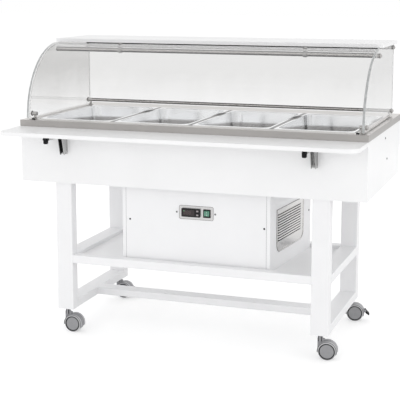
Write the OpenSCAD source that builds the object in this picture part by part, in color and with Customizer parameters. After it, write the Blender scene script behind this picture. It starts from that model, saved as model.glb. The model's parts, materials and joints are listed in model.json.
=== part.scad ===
// Mobile salad bar: a chilled four-pan well in a white cabinet on a castered stand,
// under a curved clear canopy, with a folding tray slide along its front.
// Millimetres. +X to the right, +Y to the rear, +Z up. The floor is z = 0, and the origin is
// the middle of the footprint of cabinet and tray slide. Inside at_front() y = 0 is the
// cabinet's front face.

/* [Worktop] */
// Height of the stainless rim above the floor
rim_z = 877; // [840:1:1080]
// Height of the cabinet, rim included
body_h = 250; // [215:1:320]
// Depth of the cabinet, front to rear
body_d = 712; // [690:1:900]
// Rim between the outer pans and the cabinet's ends
side_ledge = 55.5; // [50:0.5:120]
// Rim between the cabinet's front and the pans
front_ledge = 56; // [50:1:90]
// Thickness of the white cabinet panels
panel_t = 18; // [12:1:25]
// Thickness of the stainless sheet of the rim and the well
sheet_t = 2; // [1:0.5:3]
// Height of the rim's band down the cabinet's sides
band_h = 26; // [15:1:40]

/* [Pans] */
// Length of a pan's flange, front to rear
pan_l = 530; // [530:1:530]
// Width of a pan's flange
pan_w = 325; // [325:1:325]
// Gap between the flanges of two pans
pan_gap = 3; // [2:0.5:10]
// Depth of a pan
pan_h = 100; // [65:1:150]
// Width of a pan's flange lip
pan_lip = 13; // [10:0.5:16]
// Wall of a pan
pan_t = 1; // [0.8:0.1:1.5]

/* [Well] */
// Depth of the well below the rim
well_h = 176; // [165:1:190]
// Thickness of the insulation round the well
foam_t = 30; // [15:1:45]
// Outside diameter of the evaporator's tube
coil_tube_d = 10; // [8:0.5:12]

/* [Canopy] */
// Outer radius of the side panes' rounded front
pane_r = 294; // [250:1:330]
// Thickness of a side pane
side_pane_t = 8; // [5:0.5:12]
// Thickness of the curved front pane
front_pane_t = 6; // [4:0.5:10]
// Side panes' outer faces in from the cabinet's ends
pane_inset = 20; // [12:1:30]
// Side panes' front edge behind the cabinet's front
pane_setback = 20; // [12:1:40]
// Depth of a side pane, front to rear
pane_d = 592; // [560:1:640]
// Gap between the panes and the rim
pane_lift = 5; // [3:1:15]
// Diameter of the two upper tubes
upper_tube_d = 18; // [14:1:22]
// Diameter of the lower rear tube
lower_tube_d = 14; // [10:1:18]
// Thickness of the top board
board_t = 14; // [12:1:30]
// Depth of the top board, front to rear
board_d = 326; // [315:1:400]

/* [Tray slide] */
// How far the tray slide stands out from the cabinet
tray_out = 196; // [150:1:260]
// Thickness of the tray board
tray_t = 15; // [12:1:22]
// Radius of the tray board's front corners
tray_r = 45; // [10:1:70]
// Middle of each tray bracket from the cabinet's middle
bracket_x = 512; // [400:1:600]
// Height of a tray bracket
bracket_h = 87; // [60:1:110]
// Width of a release grip
knob_w = 17; // [14:1:22]

/* [Stand] */
// Outer faces of the legs from the cabinet's ends
leg_inset = 142; // [80:1:220]
// Width of a leg, left to right
leg_w = 70; // [50:1:90]
// Depth of a leg, front to rear
leg_d = 46; // [35:1:70]
// Front faces of the front legs behind the cabinet's front
frame_front = 23; // [5:1:60]
// Depth of the stand, front to rear
frame_d = 572; // [480:1:640]
// Height of the foot rails
foot_rail_h = 34; // [25:1:60]
// Top of the shelf's rails above the floor
shelf_z = 326; // [260:1:420]
// Height of the shelf's rails
shelf_rail_h = 34; // [25:1:60]
// Thickness of the shelf's board
shelf_t = 18; // [12:1:22]
// Depth of the stretcher, front to rear
stretcher_d = 66; // [40:1:90]
// Height of the stretcher
stretcher_h = 30; // [20:1:34]

/* [Compressor housing] */
// Width of the housing's front
housing_w = 618; // [560:1:700]
// Middle of the housing's front to the right of the cabinet's middle
housing_x = 12; // [-40:1:60]
// Housing's front behind the cabinet's front
housing_front_y = 78; // [72:1:110]
// Depth of the housing, front to rear
housing_d = 466; // [440:1:466]
// Angle by which the housing's right wall runs outward to the rear
splay = 5.6; // [0:0.1:6]
// Width of the corner strips beside the front cover
strip_w = 15; // [10:1:25]
// Number of slots in the side grille
slot_count = 11; // [8:1:12]

/* [Controls] */
// Width of the control plate
plate_w = 140; // [130:1:160]
// Height of the control plate
plate_h = 52; // [48:1:70]
// Width of the thermostat's bezel
thermo_w = 78; // [70:1:80]
// Height of the thermostat's bezel
thermo_h = 34; // [30:1:38]

/* [Casters] */
// Height of a caster, floor to leg
caster_h = 96; // [92:1:120]
// Diameter of the caster wheels
wheel_d = 70; // [60:1:80]
// Width of one wheel of the pair
wheel_w = 14; // [12:1:20]
// Distance from the swivel axis back to the axle
trail = 28; // [20:1:34]
// Turn of the left front caster from straight sideways
left_front_turn = 0; // [-60:1:60]
// Turn of the right front caster from straight sideways
right_front_turn = 5; // [-60:1:60]
// Turn of the left rear caster from straight sideways
left_rear_turn = 3; // [-60:1:60]
// Turn of the right rear caster from straight sideways
right_rear_turn = 7; // [-60:1:60]

/* [Fits] */
// Radial clearance of a turning pin in its bore
run_gap = 0.06; // [0.03:0.01:0.1]
// Gap beside parts that slide or turn past each other
side_gap = 0.4; // [0.3:0.1:1]
// Radial clearance of a bolt in its hole
bolt_gap = 0.3; // [0.2:0.1:0.6]

/* [Hidden] */
$fn = 96;

// Colours
WHITE = [0.94, 0.94, 0.95];
STEEL = [0.72, 0.71, 0.70];
CLEAR = [0.85, 0.92, 0.92, 0.35];
BLACK = [0.08, 0.08, 0.09];
GREY = [0.52, 0.53, 0.55];
DARK = [0.25, 0.25, 0.27];
FOAM = [0.90, 0.85, 0.62];
COPPER = [0.72, 0.42, 0.28];
GREEN = [0.20, 0.50, 0.38];

// Worktop
pan_pitch = pan_w + pan_gap;
pans_w = 4 * pan_pitch - pan_gap;
body_w = pans_w + 2 * side_ledge;
front_y = (tray_out - body_d) / 2;
body_z = rim_z - body_h;
panel_top = rim_z - sheet_t;
panel_w = body_w - 2 * sheet_t;
opening_w = pans_w - 2 * pan_lip;
opening_l = pan_l - 2 * pan_lip;
opening_y = front_ledge + pan_lip;
bar_w = 2 * pan_lip + pan_gap;
bar_h = 12;
tub_y = opening_y + opening_l / 2;
floor_z = rim_z - well_h;
tub_r = 12;

// Evaporator under the well's floor
coil_z = floor_z - coil_tube_d / 2 - 0.2;
coil_runs = 8;
coil_pitch = opening_l / (coil_runs + 1);
coil_len = opening_w - 4 * coil_pitch;
coil_pocket_h = coil_tube_d + 2;
foam_z = floor_z - coil_pocket_h - foam_t;

// Pans: the tapered tub has rounded corners and a rounded foot
pan_corner = 42;
pan_draft = 6;
pan_foot_r = 12;
pan_tub_w = pan_w - 2 * pan_lip - 2;
pan_tub_l = pan_l - 2 * pan_lip - 2;
pan_flange_t = 1.5;

// Canopy
pane_x = body_w / 2 - pane_inset;
pane_in_x = pane_x - side_pane_t;
pane_z = rim_z + pane_lift;
pane_top = pane_z + pane_r;
pane_mid_y = pane_setback + pane_r;
pane_rear = pane_setback + pane_d;
curved_r = pane_r - 4;
curved_x = pane_in_x - 2;
tube_front_y = pane_mid_y - 14;
tube_front_z = pane_top - 30;
tube_rear_y = pane_rear - 14;
tube_rear_z = pane_top - 14;
tube_low_y = pane_rear - 14;
tube_low_z = rim_z + 24;
post_front_y = pane_setback + 42;
post_front_z = rim_z + 20;
post_r = 5;
eye_r = 8;
eye_l = 18;
cap_r = 9;
cap_h = 7;
shank_r = 4;
clip_x = 395;
clip_w = 14;
clip_ring_r = upper_tube_d / 2 + 3.5;
clip_r = 9;
clip_rise = 20;
board_w = body_w - 20;
board_front = tube_front_y + 12;

// Tray slide
tray_top = rim_z - 25;
tray_gap = 2;
arm_z = tray_top - tray_t;
cheek_deep = 44;
pivot_y = 6 - cheek_deep;
pivot_z = arm_z - 8;
cheek_t = 2.5;
arm_w = 13;
bracket_w = 22;
cheek_in = arm_w / 2 + side_gap;
bracket_top = arm_z - 3;
bracket_low = bracket_top - bracket_h;
cheek_foot = 25;
pin_r = 3;
arm_end = -160;
rod_r = 2.5;
rod_z = arm_z - 9;
arm_h = 16;
rod_clear = 0.25;
knob_y = -163;
knob_t = 10;
knob_r = 5;
knob_drop = 19;
nose_r = 6.5;
nose_l = 11;

// Stand
leg_z = caster_h;
leg_r = 3;
leg_out = body_w / 2 - leg_inset;
leg_in = leg_out - leg_w;
leg_mid_x = leg_out - leg_w / 2;
leg_front_y = frame_front + leg_d / 2;
leg_rear_y = frame_front + frame_d - leg_d / 2;
shelf_low = shelf_z - shelf_rail_h;
shelf_top = shelf_low + shelf_t;
rail_set = 2;
stretcher_z = leg_z + foot_rail_h - stretcher_h;
stretcher_y = frame_front + (frame_d - stretcher_d) / 2 - 20;

// Compressor housing
wall_t = 1.5;
house_left = housing_x - housing_w / 2;
house_right = housing_x + housing_w / 2;
house_rear_x = house_right + housing_d * tan(splay);
house_rear_y = housing_front_y + housing_d;
cover_w = housing_w - 2 * strip_w;
cover_low = shelf_top + 6;
cover_high = body_z - 6;
grille_start = 70;
grille_l = 306;
grille_low = shelf_top + 64;
grille_h = min(171, body_z - grille_low - 30);
grille_r = 34;
grille_t = 3;
slot_h = 6;
slot_pitch = 10.4;
slot_l = 264;
slot_start = 10;
slot_low = grille_h - 14 - slot_count * slot_pitch;
window_edge = 6;
flange_w = 22;

// Controls
plate_t = 1.5;
plate_x = house_left + 315;
plate_z = body_z - 100;
thermo_x = plate_x - plate_w / 2 + 10 + thermo_w / 2;
thermo_t = 6;
thermo_body_w = thermo_w - 7;
thermo_body_h = thermo_h - 5;
thermo_body_l = 58;
key_w = 9;
key_h = 6.5;
key_t = 2.6;
key_x = thermo_x + thermo_w / 2 - 11;
key_step = 8;
key_gap = 0.25;
switch_w = 30;
switch_h = 33;
switch_x = thermo_x + thermo_w / 2 + 12 + switch_w / 2;
switch_body_l = 24;
rocker_w = 22;
rocker_h = 25;
rocker_r = 44;
cut_gap = 0.3;

// Cooling unit inside the housing
unit_s = 212;
cond_l = 250;
cond_h = 190;
cond_d = 44;
cond_gap = 18;
fin_count = 30;
fin_t = 0.6;
cond_z = shelf_top + 22;
fan_r = 82;
fan_z = cond_z + cond_h / 2;
cowl_t = 1.5;
cowl_d = 26;
hub_r = 22;
blade_count = 5;
blade_pitch = 32;
motor_r = 30;
motor_l = 55;
can_r = 72;
can_h = 150;
can_x = house_left + 150;
can_y = housing_front_y + housing_d / 2 + 20;
can_z = shelf_top;

// Casters
wheel_r = wheel_d / 2;
web_t = 13;
web_gap = 1.2;
axle_r = 4;
hood_gap = 0.9;
hood_t = 2.2;
hood_r = wheel_r + hood_gap + hood_t;
hood_w = web_t + 2 * web_gap + 2 * wheel_w;
hood_from = -18;
hood_turn = 206;
boss_r = 10;
boss_low = 2 * wheel_r + hood_gap;
boss_high = caster_h - 5;
stem_r = 7.5;
stem_pin_r = 5.5;
stem_foot = boss_high + 0.25;
pin_low = boss_low + 2;
pedal_angle = 14;
pedal_slope = -52;
pedal_r = hood_r + 4.6;
pedal_l = 25;
pedal_w = 22;
pedal_eye_r = 4;
pedal_pin_r = 2;
disc_r = 27.5;
groove_w = 3.4;

module at_front() {
    translate([0, front_y, 0]) children();
}

// A box between two corners
module box(low, high) {
    translate(low) cube(high - low);
}

// A rectangle with rounded corners, about its middle
module round_rect(w, l, r) {
    square([w - 2 * r, l], center = true);
    square([w, l - 2 * r], center = true);
    for (sx = [-1, 1], sy = [-1, 1])
        translate([sx * (w / 2 - r), sy * (l / 2 - r)]) circle(r);
}

// A bar along X whose section is w deep (Y) and h high (Z)
module bar_x(x0, x1, y, z, w, h, r) {
    translate([x0, y, z]) rotate([90, 0, 90]) linear_extrude(x1 - x0) round_rect(w, h, r);
}

// A bar along Y whose section is w wide (X) and h high (Z)
module bar_y(y0, y1, x, z, w, h, r) {
    translate([x, y0, z]) rotate([-90, 0, 0]) linear_extrude(y1 - y0) round_rect(w, h, r);
}

// A rod along X
module rod_x(x0, x1, y, z, r) {
    translate([x0, y, z]) rotate([0, 90, 0]) cylinder(r = r, h = x1 - x0);
}

// A rod along Y
module rod_y(y0, y1, x, z, r) {
    translate([x, y0, z]) rotate([-90, 0, 0]) cylinder(r = r, h = y1 - y0);
}

// ---------------------------------------------------------------- cabinet

module front_panel() {
    color(WHITE) at_front()
        box([-panel_w / 2 + panel_t, sheet_t, body_z],
            [panel_w / 2 - panel_t, sheet_t + panel_t, panel_top]);
}

module rear_panel() {
    color(WHITE) at_front()
        box([-panel_w / 2 + panel_t, body_d - sheet_t - panel_t, body_z],
            [panel_w / 2 - panel_t, body_d - sheet_t, panel_top]);
}

module end_panel(side) {
    color(WHITE) at_front()
        translate([side * (panel_w - panel_t) / 2, 0, 0])
            box([-panel_t / 2, sheet_t, body_z], [panel_t / 2, body_d - sheet_t, panel_top]);
}

module left_panel() {
    end_panel(-1);
}

module right_panel() {
    end_panel(1);
}

module bottom_panel() {
    inner_x = panel_w / 2 - panel_t;
    color(WHITE) at_front()
        box([-inner_x, sheet_t + panel_t, body_z],
            [inner_x, body_d - sheet_t - panel_t, body_z + panel_t]);
}

// Stainless worktop: a plate with one long opening and a band folded down all round
module rim_frame() {
    color(STEEL) at_front() difference() {
        box([-body_w / 2, 0, rim_z - band_h], [body_w / 2, body_d, rim_z]);
        box([-panel_w / 2, sheet_t, rim_z - band_h - 1],
            [panel_w / 2, body_d - sheet_t, panel_top]);
        translate([0, tub_y, rim_z - band_h - 1])
            linear_extrude(band_h + 2) round_rect(opening_w, opening_l, tub_r);
    }
}

// The chilled tub that hangs under the rim's opening
module well_liner() {
    outer_w = opening_w + 2 * sheet_t;
    outer_l = opening_l + 2 * sheet_t;
    color(STEEL) at_front() difference() {
        translate([0, tub_y, floor_z - sheet_t])
            linear_extrude(panel_top - floor_z + sheet_t)
                round_rect(outer_w, outer_l, tub_r + sheet_t);
        translate([0, tub_y, floor_z])
            linear_extrude(well_h) round_rect(opening_w, opening_l, tub_r);
    }
}

// Foam tub round the liner, with a pocket for the evaporator under the floor
module well_insulation() {
    liner_w = opening_w + 2 * sheet_t;
    liner_l = opening_l + 2 * sheet_t;
    color(FOAM) at_front() difference() {
        translate([0, tub_y, foam_z])
            linear_extrude(panel_top - foam_z)
                round_rect(liner_w + 2 * foam_t, liner_l + 2 * foam_t, tub_r);
        translate([0, tub_y, floor_z - sheet_t])
            linear_extrude(well_h + sheet_t)
                round_rect(liner_w, liner_l, tub_r + sheet_t);
        translate([0, tub_y, floor_z - sheet_t - coil_pocket_h])
            linear_extrude(well_h)
                round_rect(opening_w - 20, opening_l - 20, tub_r);
    }
}

// Serpentine of copper tube against the underside of the well
module evaporator_coil() {
    y_first = tub_y - coil_pitch * (coil_runs - 1) / 2;
    z = coil_z - sheet_t;
    color(COPPER) at_front() {
        for (i = [0 : coil_runs - 1])
            rod_x(-coil_len / 2, coil_len / 2, y_first + i * coil_pitch, z, coil_tube_d / 2);
        for (i = [0 : coil_runs - 2]) {
            side = i % 2 == 0 ? 1 : -1;
            translate([side * coil_len / 2, y_first + (i + 0.5) * coil_pitch, z])
                rotate([0, 0, -90 * side])
                    rotate_extrude(angle = 180)
                        translate([coil_pitch / 2, 0]) circle(coil_tube_d / 2);
        }
    }
}

// Cross bars that carry the long edges of neighbouring pans
module pan_bars() {
    color(STEEL) at_front() for (i = [-1 : 1])
        difference() {
            box([i * pan_pitch - bar_w / 2, opening_y, rim_z - bar_h],
                [i * pan_pitch + bar_w / 2, opening_y + opening_l, rim_z]);
            box([i * pan_pitch - bar_w / 2 + sheet_t, opening_y - 1, rim_z - bar_h - 1],
                [i * pan_pitch + bar_w / 2 - sheet_t, opening_y + opening_l + 1,
                    rim_z - sheet_t]);
        }
}

// A pan's tub as a solid: drafted sides on rounded corners, and a rounded foot
module pan_tub(inset, rise) {
    r = pan_corner - inset;
    foot = pan_foot_r - inset;
    low = -pan_h + inset;
    narrow = r - pan_draft;
    $fn = 32;
    hull() for (sx = [-1, 1], sy = [-1, 1])
        translate([sx * (pan_tub_w / 2 - pan_corner), sy * (pan_tub_l / 2 - pan_corner), 0])
            rotate_extrude() polygon(concat([[0, rise], [r, rise], [r, 0]],
                [for (a = [0 : 22.5 : 90])
                    [narrow - foot + foot * cos(a), low + foot - foot * sin(a)]],
                [[0, low]]));
}

// A gastronorm pan of pressed steel: flat flange, drafted tub, rounded foot
module pan(index) {
    x = (index - 1.5) * pan_pitch;
    color(STEEL) at_front() translate([x, front_ledge + pan_l / 2, rim_z]) difference() {
        union() {
            linear_extrude(pan_flange_t) round_rect(pan_w, pan_l, 16);
            pan_tub(0, 0.5);
        }
        pan_tub(pan_t, pan_flange_t + 1);
    }
}

module pan_1() {
    pan(0);
}

module pan_2() {
    pan(1);
}

module pan_3() {
    pan(2);
}

module pan_4() {
    pan(3);
}

// ---------------------------------------------------------------- canopy

// Front pane: a quarter round of clear sheet between the side panes
module curved_pane() {
    color(CLEAR) at_front() pane_arc(curved_x, front_pane_t, 0);
}

// A quarter-round sheet, drawn out by grow on both faces
module pane_arc(half, thick, grow) {
    translate([-half, pane_mid_y, pane_z]) rotate([0, 90, 0]) rotate([0, 0, -90])
        rotate_extrude(angle = -87)
            translate([curved_r - thick - grow, 0]) square([thick + 2 * grow, 2 * half]);
}

// Side pane with a quarter-round front corner and bolt holes
module side_pane(side) {
    r = shank_r + bolt_gap;
    color(CLEAR) at_front()
        translate([side * (pane_x - side_pane_t / 2), 0, 0]) difference() {
            translate([-side_pane_t / 2, 0, 0]) {
                intersection() {
                    rod_x(0, side_pane_t, pane_mid_y, pane_z, pane_r);
                    box([-1, 0, pane_z], [side_pane_t + 1, pane_mid_y, pane_top]);
                }
                box([0, pane_mid_y, pane_z], [side_pane_t, pane_rear, pane_top]);
            }
            for (p = pane_bolts())
                rod_x(-side_pane_t, side_pane_t, p[0], p[1], r);
        }
}

// Where a side pane is bolted, as [y, z]
function pane_bolts() = [[tube_front_y, tube_front_z], [tube_rear_y, tube_rear_z],
    [tube_low_y, tube_low_z], [post_front_y, post_front_z]];

module left_pane() {
    side_pane(-1);
}

module right_pane() {
    side_pane(1);
}

module top_board() {
    color(WHITE) at_front()
        translate([0, board_front + board_d / 2, pane_top])
            linear_extrude(board_t) round_rect(board_w, board_d, 4);
}

// Two upper tubes and the lower rear tube, from side pane to side pane
module canopy_tubes() {
    color(STEEL) at_front() {
        rod_x(-pane_in_x, pane_in_x, tube_front_y, tube_front_z, upper_tube_d / 2);
        rod_x(-pane_in_x, pane_in_x, tube_rear_y, tube_rear_z, upper_tube_d / 2 - 1);
        rod_x(-pane_in_x + eye_l, pane_in_x - eye_l, tube_low_y, tube_low_z,
            lower_tube_d / 2);
    }
}

// Clips that turn on the front tube: a ring, and a round jaw that grips the pane's top edge
module pane_clips() {
    color(STEEL) at_front() for (side = [-1, 1]) difference() {
        translate([side * clip_x, tube_front_y, tube_front_z]) {
            rod_x(-clip_w / 2, clip_w / 2, 0, 0, clip_ring_r);
            rod_y(-10, 3, 0, clip_rise, clip_r);
            translate([0, 1 - clip_ring_r, 0]) rotate([90, 0, 0]) dome(4.5, 3.5);
        }
        rod_x(side * clip_x - clip_w, side * clip_x + clip_w, tube_front_y, tube_front_z,
            upper_tube_d / 2 + run_gap);
        pane_arc(curved_x, front_pane_t, 0.05);
    }
}

// A domed cap on z = 0: a short collar under part of a ball
module dome(r, h) {
    rotate_extrude() dish(r, h);
}

// Posts that stand on the rim and hold the side panes' lower bolts
module pane_posts() {
    color(STEEL) at_front() for (side = [-1, 1], p = [[post_front_y, post_front_z],
            [tube_low_y, tube_low_z]]) {
        x = side * (pane_in_x - eye_l / 2);
        rod_x(x - eye_l / 2, x + eye_l / 2, p[0], p[1], eye_r);
        translate([x, p[0], rim_z]) {
            cylinder(r = post_r, h = p[1] - rim_z);
            rotate_extrude() polygon([[0, 0], [11, 0], [11, 2], [7, 4], [0, 4]]);
        }
    }
}

// Cap bolts through the side panes
module canopy_bolts() {
    color(STEEL) at_front() for (side = [-1, 1], p = pane_bolts())
        translate([side * pane_in_x, p[0], p[1]]) rotate([0, 90 * side, 0]) {
            cylinder(r = shank_r, h = side_pane_t + 0.5);
            translate([0, 0, side_pane_t]) rotate_extrude()
                polygon([[0, 0], [cap_r + 1.5, 0], [cap_r + 1.5, 1.5], [0, 1.5]]);
            translate([0, 0, side_pane_t + 1.5]) dome(cap_r, cap_h);
        }
}

// ---------------------------------------------------------------- tray slide

// Tray board with rounded front corners and a rounded front edge
module tray_board() {
    half = body_w / 2;
    color(WHITE) at_front() translate([0, 0, arm_z]) linear_extrude(tray_t) {
        box_2d([-half, -tray_out + tray_r], [half, -tray_gap]);
        box_2d([-half + tray_r, -tray_out], [half - tray_r, -tray_gap]);
        for (side = [-1, 1])
            translate([side * (half - tray_r), -tray_out + tray_r]) circle(tray_r);
    }
}

// A rectangle between two corners
module box_2d(low, high) {
    translate(low) square(high - low);
}

// Brackets on the cabinet: back plate, two tapered cheeks and the hinge pin
module tray_wall_brackets() {
    color(STEEL) at_front() for (side = [-1, 1]) translate([side * bracket_x, 0, 0]) {
        box([-bracket_w / 2, sheet_t - cheek_t, bracket_low],
            [bracket_w / 2, sheet_t, bracket_top]);
        for (cheek = [-1, 1])
            translate([cheek * (cheek_in + cheek_t / 2), 0, 0])
                translate([cheek_t / 2, 0, 0]) rotate([90, 0, -90]) linear_extrude(cheek_t)
                    polygon([[-sheet_t + cheek_t, bracket_low + 14], [8, bracket_low + 8],
                        [cheek_foot - 4, bracket_low], [cheek_foot, bracket_low],
                        [cheek_deep, bracket_top - 14], [cheek_deep, bracket_top - 3],
                        [cheek_deep - 3, bracket_top],
                        [-sheet_t + cheek_t, bracket_top]]);
        rod_x(-cheek_in - cheek_t - 1.5, cheek_in + cheek_t + 1.5, pivot_y, pivot_z, pin_r);
    }
}

// Arms under the tray board, each bored for its hinge pin and its release rod
module tray_arms() {
    color(STEEL) at_front() for (side = [-1, 1]) translate([side * bracket_x, 0, 0])
        difference() {
            union() {
                box([-arm_w / 2, arm_end + 12, arm_z - arm_h], [arm_w / 2, pivot_y, arm_z]);
                rod_x(-arm_w / 2, arm_w / 2, pivot_y, pivot_z, arm_z - pivot_z);
            }
            rod_x(-arm_w, arm_w, pivot_y, pivot_z, pin_r + run_gap);
            rod_y(arm_end, pivot_y - pin_r - 3, 0, rod_z, rod_r + rod_clear);
        }
}

// Release: a nose on a thin rod that runs back through the arm, and a finger grip below it
module release_knob(side) {
    half = knob_w / 2;
    color(BLACK) at_front() translate([side * bracket_x, knob_y, rod_z]) {
        difference() {
            rotate([90, 0, 0]) translate([0, 0, -knob_t / 2]) linear_extrude(knob_t) {
                box_2d([-half, -knob_drop + knob_r], [half, 6]);
                box_2d([-half + knob_r, -knob_drop], [half - knob_r, 6]);
                for (s = [-1, 1])
                    translate([s * (half - knob_r), -knob_drop + knob_r]) circle(knob_r);
            }
            rod_x(-knob_w, knob_w, knob_t / 2 + 11, -11, 13);
        }
        rotate([90, 0, 0]) translate([0, 0, knob_t / 2 - 1]) rotate_extrude()
            polygon([[0, 0], [nose_r, 0], [nose_r, nose_l - 1], [nose_r - 2, nose_l + 1],
                [0, nose_l + 1]]);
        rod_y(0, pivot_y - pin_r - 5 - knob_y, 0, 0, rod_r);
    }
}

module left_release_knob() {
    release_knob(-1);
}

module right_release_knob() {
    release_knob(1);
}

// ---------------------------------------------------------------- stand

module leg(side, y) {
    color(WHITE) at_front() translate([side * leg_mid_x, y, leg_z])
        linear_extrude(body_z - leg_z) round_rect(leg_w, leg_d, leg_r);
}

module left_front_leg() {
    leg(-1, leg_front_y);
}

module left_rear_leg() {
    leg(-1, leg_rear_y);
}

module right_front_leg() {
    leg(1, leg_front_y);
}

module right_rear_leg() {
    leg(1, leg_rear_y);
}

module foot_rails() {
    color(WHITE) at_front() for (side = [-1, 1])
        bar_y(frame_front + leg_d, frame_front + frame_d - leg_d, side * leg_mid_x,
            leg_z + foot_rail_h / 2, leg_w, foot_rail_h, leg_r);
}

module stretcher() {
    color(WHITE) at_front()
        bar_x(-leg_in, leg_in, stretcher_y + stretcher_d / 2, stretcher_z + stretcher_h / 2,
            stretcher_d, stretcher_h, leg_r);
}

// Four rails flush with the legs, round the shelf's board
module shelf_rails() {
    z = shelf_low + shelf_rail_h / 2;
    color(WHITE) at_front() {
        for (side = [-1, 1])
            bar_y(frame_front + leg_d, frame_front + frame_d - leg_d, side * leg_mid_x, z,
                leg_w, shelf_rail_h, leg_r);
        for (y = [frame_front + rail_set + (leg_d - rail_set) / 2,
                frame_front + frame_d - rail_set - (leg_d - rail_set) / 2])
            bar_x(-leg_in, leg_in, y, z, leg_d - rail_set, shelf_rail_h, leg_r);
    }
}

module shelf_board() {
    color(WHITE) at_front()
        box([-leg_in, frame_front + leg_d, shelf_low + leg_r],
            [leg_in, frame_front + frame_d - leg_d, shelf_top]);
}

// ---------------------------------------------------------------- compressor housing

// Frame on the housing's splayed right wall: +X rearward along it, +Y up, +Z outward
module on_wall() {
    at_front() translate([house_right, housing_front_y, 0]) rotate([0, 0, 90 - splay])
        rotate([90, 0, 0]) children();
}

// Folded shell: left, rear and right walls with a corner strip at each front edge
module housing_shell() {
    color(WHITE) difference() {
        at_front() translate([0, 0, shelf_top]) linear_extrude(body_z - shelf_top) {
            difference() {
                polygon([[house_left, housing_front_y], [house_right, housing_front_y],
                    [house_rear_x, house_rear_y], [house_left, house_rear_y]]);
                polygon([[house_left + wall_t, housing_front_y - 1],
                    [house_right - wall_t, housing_front_y - 1],
                    [house_rear_x - wall_t, house_rear_y - wall_t],
                    [house_left + wall_t, house_rear_y - wall_t]]);
            }
            box_2d([house_left, housing_front_y],
                [house_left + strip_w, housing_front_y + wall_t]);
            box_2d([house_right - strip_w, housing_front_y],
                [house_right, housing_front_y + wall_t]);
            box_2d([house_left + wall_t, housing_front_y + wall_t],
                [house_left + strip_w + flange_w, housing_front_y + 2 * wall_t]);
            box_2d([house_right - strip_w - flange_w, housing_front_y + wall_t],
                [house_right - wall_t, housing_front_y + 2 * wall_t]);
        }
        on_wall() translate([0, 0, -10]) linear_extrude(20)
            grille_outline(window_edge);
    }
}

// The grille plate's outline, drawn in by inset: lower corners rounded
module grille_outline(inset) {
    l = grille_l - 2 * inset;
    r = grille_r - inset;
    translate([grille_start + inset, grille_low + inset]) {
        box_2d([r, 0], [l - r, grille_h - 2 * inset]);
        box_2d([0, r], [l, grille_h - 2 * inset]);
        for (x = [r, l - r]) translate([x, r]) circle(r);
    }
}

// Louvred plate over the window in the right wall
module side_grille() {
    color(STEEL) on_wall() {
        difference() {
            linear_extrude(grille_t) grille_outline(0);
            translate([0, 0, 1]) linear_extrude(grille_t) grille_outline(3);
            for (i = [0 : slot_count - 1]) translate([grille_start + slot_start,
                    grille_low + slot_low + i * slot_pitch, -1])
                linear_extrude(grille_t + 2) translate([slot_l / 2, slot_h / 2])
                    round_rect(slot_l, slot_h, slot_h / 2 - 0.01);
        }
        for (i = [0 : slot_count - 1]) translate([grille_start + slot_start + slot_h,
                grille_low + slot_low + i * slot_pitch + slot_h, 0.4])
            rotate([38, 0, 0]) cube([slot_l - 2 * slot_h, 1, 2.6]);
    }
}

// Front cover, with openings for the thermostat and the switch
module housing_cover() {
    color(WHITE) at_front() difference() {
        box([house_left + strip_w, housing_front_y, cover_low],
            [house_left + strip_w + cover_w, housing_front_y + wall_t, cover_high]);
        control_cuts(cut_gap);
    }
}

// The passages of thermostat and switch through cover and plate
module control_cuts(gap) {
    box([thermo_x - thermo_body_w / 2 - gap, housing_front_y - 10,
            plate_z - thermo_body_h / 2 - gap],
        [thermo_x + thermo_body_w / 2 + gap, housing_front_y + 10,
            plate_z + thermo_body_h / 2 + gap]);
    box([switch_x - rocker_w / 2 - 2 - gap, housing_front_y - 10,
            plate_z - rocker_h / 2 - 2 - gap],
        [switch_x + rocker_w / 2 + 2 + gap, housing_front_y + 10,
            plate_z + rocker_h / 2 + 2 + gap]);
}

module control_plate() {
    color(WHITE) at_front() difference() {
        translate([plate_x, housing_front_y, plate_z]) rotate([90, 0, 0])
            linear_extrude(plate_t) round_rect(plate_w, plate_h, 5);
        control_cuts(cut_gap);
    }
}

// Digital thermostat: bezel with a display window, body behind the panel
module thermostat() {
    y = housing_front_y - plate_t;
    color(BLACK) at_front() difference() {
        union() {
            translate([thermo_x, y, plate_z]) rotate([90, 0, 0])
                linear_extrude(thermo_t) round_rect(thermo_w, thermo_h, 3);
            box([thermo_x - thermo_body_w / 2, y - 1, plate_z - thermo_body_h / 2],
                [thermo_x + thermo_body_w / 2, y + thermo_body_l,
                    plate_z + thermo_body_h / 2]);
        }
        translate([thermo_x - 9, y - thermo_t + 1, plate_z]) rotate([90, 0, 0])
            linear_extrude(2) round_rect(thermo_w - 28, thermo_h - 10, 2);
        for (row = [-1, 1]) translate([key_x, y - thermo_t + key_t, plate_z + row * key_step])
            rotate([90, 0, 0]) linear_extrude(key_t + 1)
                round_rect(key_w + 2 * key_gap, key_h + 2 * key_gap, 1.45);
    }
}

module key(row) {
    y = housing_front_y - plate_t - thermo_t;
    color(GREY) at_front()
        translate([key_x, y + key_t - 1.2, plate_z + row * key_step]) rotate([90, 0, 0])
            linear_extrude(key_t) round_rect(key_w, key_h, 1.2);
}

module upper_key() {
    key(1);
}

module lower_key() {
    key(-1);
}

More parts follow.
